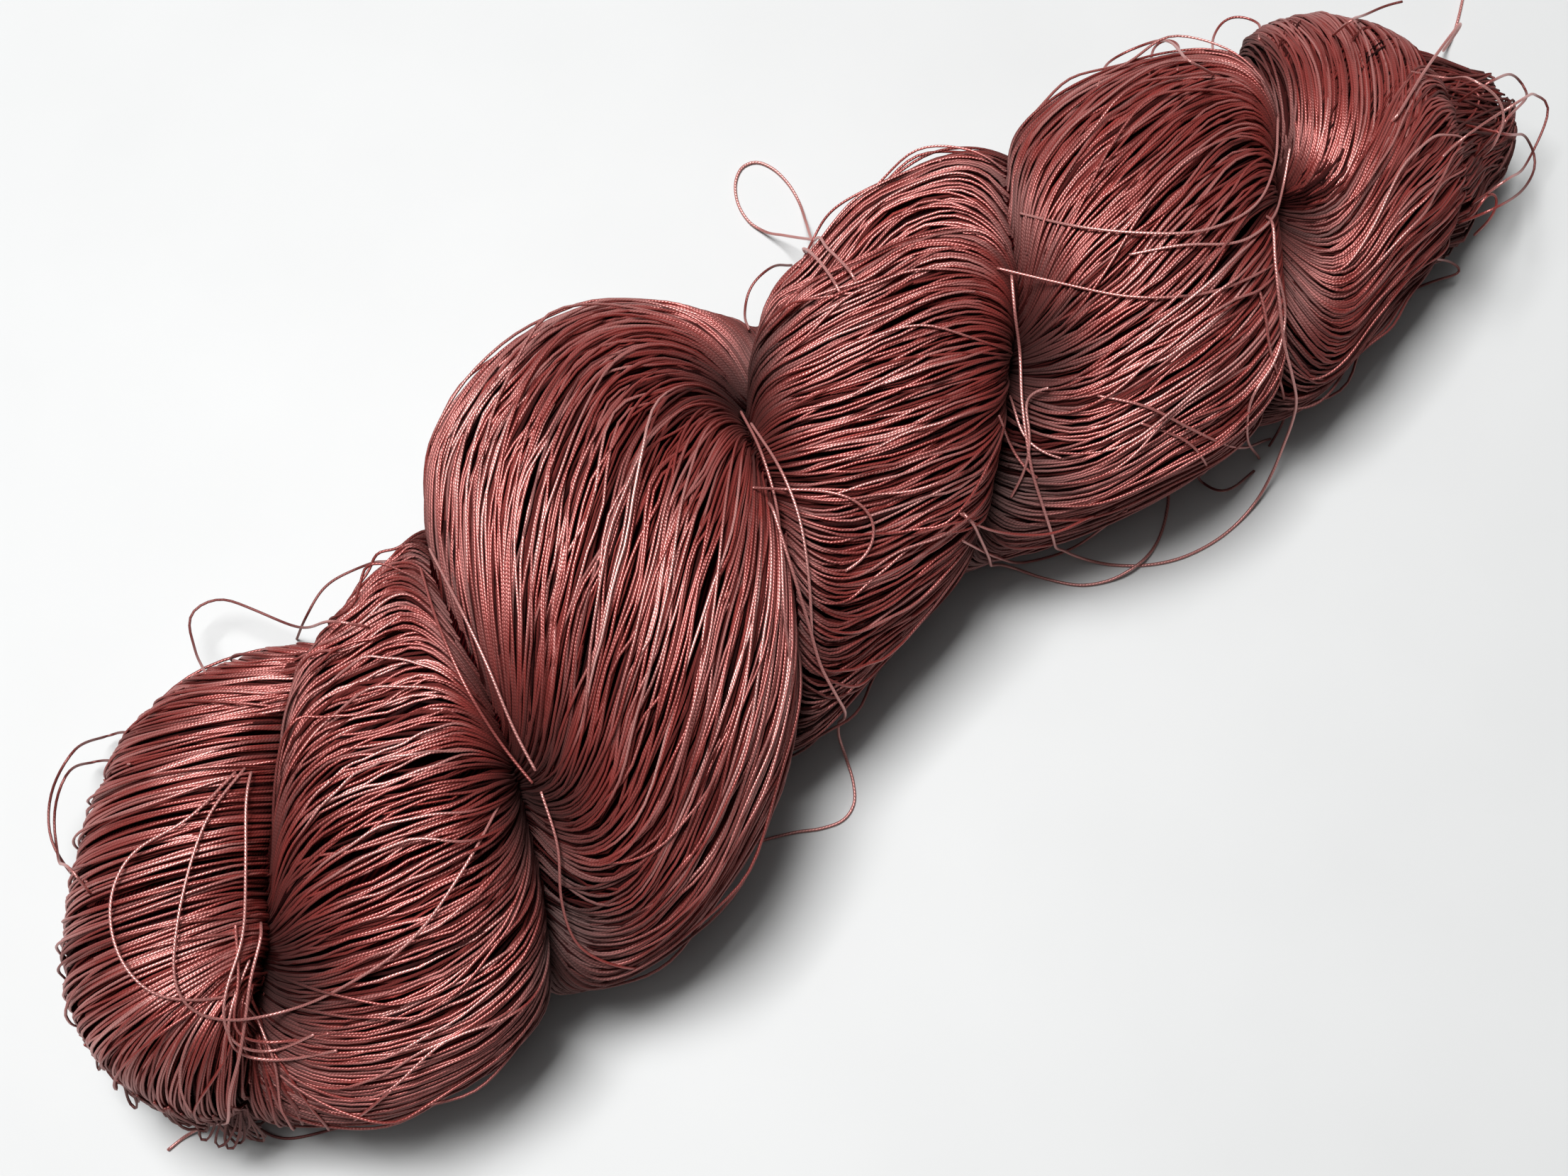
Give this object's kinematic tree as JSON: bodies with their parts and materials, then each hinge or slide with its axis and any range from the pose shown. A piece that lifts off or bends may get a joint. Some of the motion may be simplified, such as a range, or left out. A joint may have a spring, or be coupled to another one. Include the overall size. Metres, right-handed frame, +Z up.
{
  "type": "skein of silk thread",
  "caption": "Hank of plied silk thread twisted on itself into a thick rope of swelling lobes, lying flat, with a blunt looped end, a narrow tucked end and a few loose threads.",
  "frame": {"origin": "on the surface that the hank lies on, under the middle of its length and width", "axes": "+X along the hank from its blunt looped end to its narrow tucked end, +Y to its far side, +Z up"},
  "size_m": [0.2731, 0.1008, 0.0553],
  "materials": {
    "silk": "dusky red plied silk, softly lustrous"
  },
  "bodies": {
    "root": {"skein": "silk", "long_loose_thread": "silk", "near_loose_thread": "silk", "middle_loose_thread": "silk", "far_loose_loop": "silk", "left_thread_end": "silk", "right_thread_end": "silk"}
  },
  "joints": []
}
